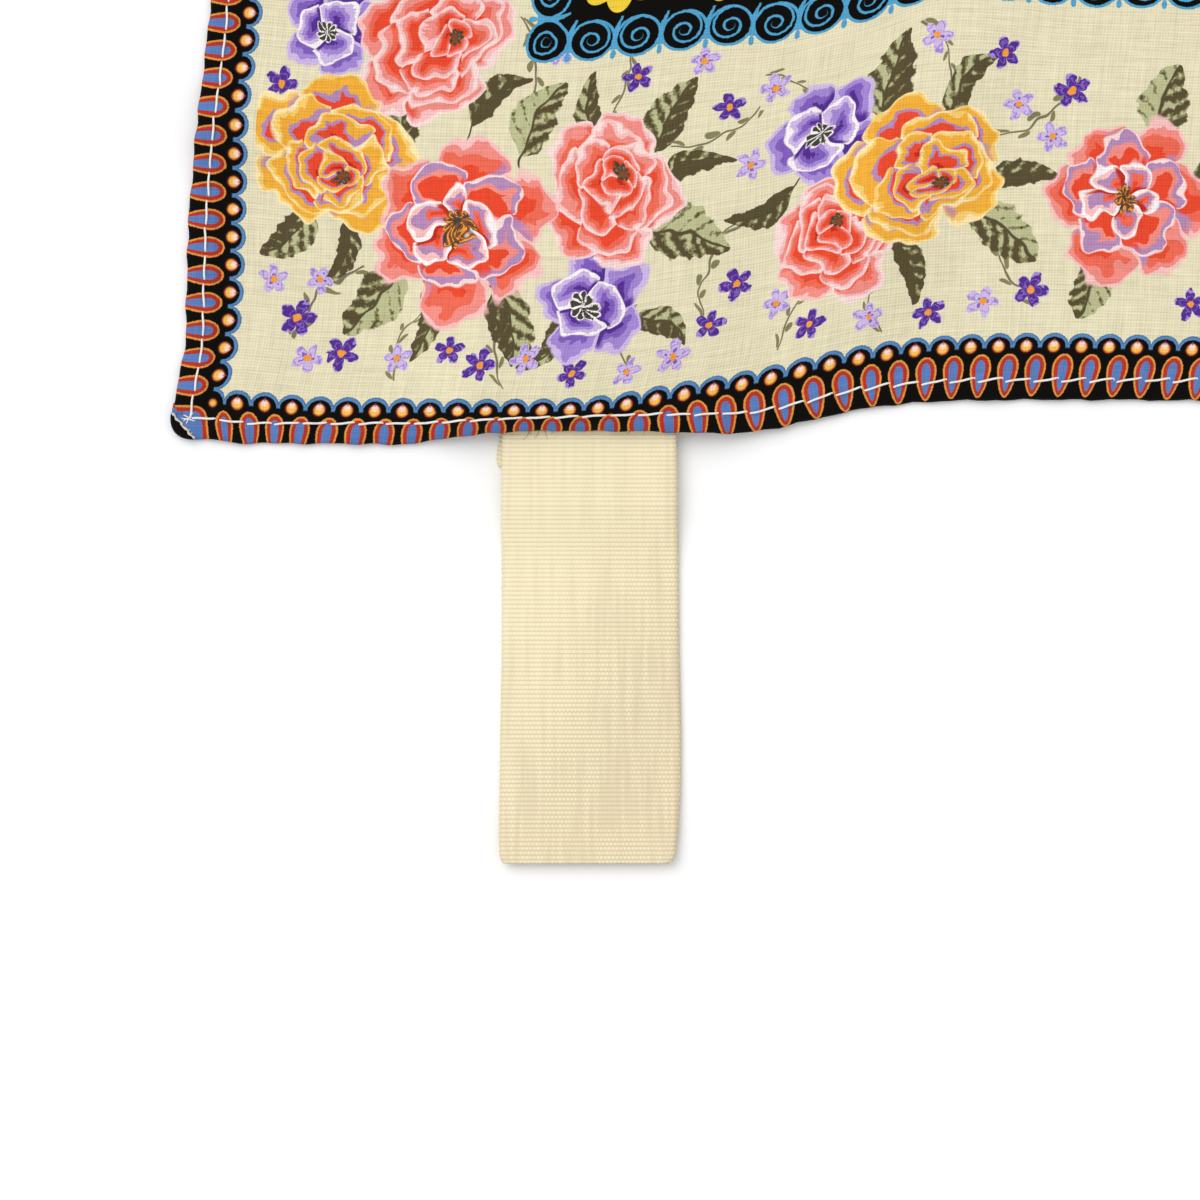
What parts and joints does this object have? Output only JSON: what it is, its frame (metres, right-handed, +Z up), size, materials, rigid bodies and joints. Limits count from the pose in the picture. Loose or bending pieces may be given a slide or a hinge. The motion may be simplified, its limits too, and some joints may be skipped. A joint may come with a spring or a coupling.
{
  "type": "scarf",
  "caption": "Square cotton bandana scarf with a printed bead and teardrop border, narrow stitched hems and a short woven care label, laid flat.",
  "frame": {"origin": "middle of the whole outline, cloth and label, on the surface that the scarf lies on", "axes": "+Z up out of the printed face, +X along the bottom hem away from the label's corner, +Y from the hem with the label to the hem opposite"},
  "size_m": [0.54, 0.5968, 0.0074],
  "materials": {
    "printed_cotton": "plain-weave cotton lawn, cream ground with a printed floral",
    "hem_cotton": "the same cotton lawn turned under twice, printed black with blue and red teardrops",
    "label_tape": "ribbed cream cotton tape",
    "sewing_thread": "white cotton sewing thread"
  },
  "bodies": {
    "root": {"cloth_panel": "printed_cotton", "hem_bottom": "hem_cotton", "hem_top": "hem_cotton", "hem_left": "hem_cotton", "hem_right": "hem_cotton", "corner_bottom_left": "hem_cotton", "corner_bottom_right": "hem_cotton", "corner_top_left": "hem_cotton", "corner_top_right": "hem_cotton", "care_label": "label_tape", "label_tuck": "label_tape"}
  },
  "joints": []
}
